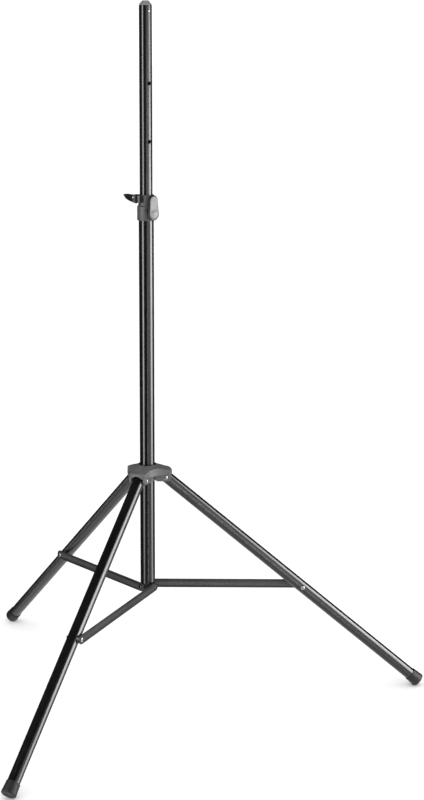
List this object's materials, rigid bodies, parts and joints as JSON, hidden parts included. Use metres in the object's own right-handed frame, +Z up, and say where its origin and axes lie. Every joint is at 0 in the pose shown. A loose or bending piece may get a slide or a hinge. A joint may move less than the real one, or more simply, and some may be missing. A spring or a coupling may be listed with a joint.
{
  "type": "speaker tripod stand",
  "caption": "Telescopic black tube stand on folding tripod legs with flat braces, a clamping lever and a sprung release lever, for holding a loudspeaker on a round pole.",
  "frame": {"origin": "on the floor at the middle of the footprint's bounding box; the pole's axis is at x = -0.1968 m, y = 0", "axes": "+Z up along the pole, +X along the leg numbered 0, the other legs at 120 and 240 degrees anticlockwise seen from above"},
  "size_m": [1.2282, 1.4118, 1.9725],
  "materials": {
    "tube_coat": "glossy black coating on steel tube",
    "brace_coat": "black coating on flat steel bar",
    "hub_grey": "satin grey moulded plastic",
    "clamp_slate": "satin slate-grey moulded plastic",
    "cap_grey": "satin grey moulded plastic",
    "lever_grey": "light grey moulded plastic",
    "black_plastic": "black moulded plastic",
    "bush_plastic": "natural white sliding plastic",
    "foot_rubber": "black rubber",
    "bright_steel": "bright zinc-plated steel",
    "dark_steel": "black zinc-plated steel"
  },
  "bodies": {
    "mast": {"outer_tube": "tube_coat", "bottom_fitting": "black_plastic", "upper_bush": "bush_plastic", "clamp_body": "clamp_slate", "set_screw": "bright_steel", "clamp_pad": "bush_plastic", "clamp_nut": "bright_steel", "bolt_retainer": "bright_steel", "bolt_spring": "bright_steel", "release_lever_pin": "dark_steel", "brace_inner_rivet_0": "dark_steel", "brace_inner_rivet_1": "dark_steel", "brace_inner_rivet_2": "dark_steel"},
    "pole_carrier": {"guide_bush": "bush_plastic"},
    "pole": {"inner_tube": "tube_coat", "top_cap": "cap_grey", "cap_rivet": "bright_steel"},
    "clamp_lever": {"clamp_lever": "black_plastic", "clamp_lever_cover": "lever_grey", "clamp_screw": "bright_steel"},
    "release_lever": {"release_lever": "black_plastic"},
    "safety_bolt": {"safety_bolt": "bright_steel", "bolt_cross_pin": "dark_steel"},
    "hub": {"hub": "hub_grey", "hub_bush": "black_plastic", "leg_pivot_0": "bright_steel", "leg_pivot_1": "bright_steel", "leg_pivot_2": "bright_steel"},
    "lock_knob": {"lock_screw": "bright_steel", "lock_knob": "black_plastic"},
    "leg_0": {"leg_tube_0": "tube_coat", "leg_insert_0": "black_plastic", "foot_0": "foot_rubber", "brace_saddle_0": "black_plastic", "leg_rivet_0": "bright_steel"},
    "brace_0": {"brace_0": "brace_coat", "brace_outer_rivet_0": "bright_steel"},
    "leg_1": {"leg_tube_1": "tube_coat", "leg_insert_1": "black_plastic", "foot_1": "foot_rubber", "brace_saddle_1": "black_plastic", "leg_rivet_1": "bright_steel"},
    "brace_1": {"brace_1": "brace_coat", "brace_outer_rivet_1": "bright_steel"},
    "leg_2": {"leg_tube_2": "tube_coat", "leg_insert_2": "black_plastic", "foot_2": "foot_rubber", "brace_saddle_2": "black_plastic", "leg_rivet_2": "bright_steel"},
    "brace_2": {"brace_2": "brace_coat", "brace_outer_rivet_2": "bright_steel"}
  },
  "joints": [
    {"name": "hub_slide", "type": "slide", "parent": "mast", "child": "hub", "axis": [0, 0, 1], "range_m": [0, 0.6424]},
    {"name": "leg_0_fold", "type": "hinge", "parent": "hub", "child": "leg_0", "pos_m": [-0.1468, 0, 0.655], "axis": [0, 1, 0], "range_deg": [0, 49.5]},
    {"name": "leg_1_fold", "type": "hinge", "parent": "hub", "child": "leg_1", "pos_m": [-0.2218, 0.0433, 0.655], "axis": [-0.866, -0.5, 0], "range_deg": [0, 49.5]},
    {"name": "leg_2_fold", "type": "hinge", "parent": "hub", "child": "leg_2", "pos_m": [-0.2218, -0.0433, 0.655], "axis": [0.866, -0.5, 0], "range_deg": [0, 49.5]},
    {"name": "brace_0_fold", "type": "hinge", "parent": "mast", "child": "brace_0", "pos_m": [-0.1968, 0, 0.33], "axis": [0, 1, 0], "range_deg": [-85.6, 0]},
    {"name": "brace_1_fold", "type": "hinge", "parent": "mast", "child": "brace_1", "pos_m": [-0.1968, 0, 0.33], "axis": [-0.866, -0.5, 0], "range_deg": [-85.6, 0]},
    {"name": "brace_2_fold", "type": "hinge", "parent": "mast", "child": "brace_2", "pos_m": [-0.1968, 0, 0.33], "axis": [0.866, -0.5, 0], "range_deg": [-85.6, 0]},
    {"name": "pole_slide", "type": "slide", "parent": "mast", "child": "pole_carrier", "axis": [0, 0, 1], "range_m": [-0.48, 0.29]},
    {"name": "pole_turn", "type": "hinge", "parent": "pole_carrier", "child": "pole", "pos_m": [-0.1968, 0, 1], "axis": [0, 0, 1], "continuous": true},
    {"name": "clamp_lever_turn", "type": "hinge", "parent": "mast", "child": "clamp_lever", "pos_m": [-0.1788, -0.03118, 1.401], "axis": [0.5, -0.866, 0], "range_deg": [0, 180]},
    {"name": "release_lever_press", "type": "hinge", "parent": "mast", "child": "release_lever", "pos_m": [-0.2248, 0, 1.4323], "axis": [0, -1, 0], "range_deg": [0, 22], "stiffness_Nm_per_rad": 0.12, "springref_deg": -11.46},
    {"name": "safety_bolt_pull", "type": "slide", "parent": "mast", "child": "safety_bolt", "axis": [-1, 0, 0], "range_m": [0, 0.0038], "deforming": ["bolt_spring"]},
    {"name": "lock_knob_turn", "type": "hinge", "parent": "hub", "child": "lock_knob", "pos_m": [-0.1718, 0.0433, 0.653], "axis": [0.5, 0.866, 0], "range_deg": [0, 360]}
  ],
  "couplings": [
    {"joint": "leg_0_fold", "follows": "hub_slide", "rad_per_m": 1.3421},
    {"joint": "leg_1_fold", "follows": "hub_slide", "rad_per_m": 1.3421},
    {"joint": "leg_2_fold", "follows": "hub_slide", "rad_per_m": 1.3421},
    {"joint": "brace_0_fold", "follows": "hub_slide", "rad_per_m": -2.3241},
    {"joint": "brace_1_fold", "follows": "hub_slide", "rad_per_m": -2.3241},
    {"joint": "brace_2_fold", "follows": "hub_slide", "rad_per_m": -2.3241},
    {"joint": "safety_bolt_pull", "follows": "release_lever_press", "m_per_rad": 0.009844}
  ]
}
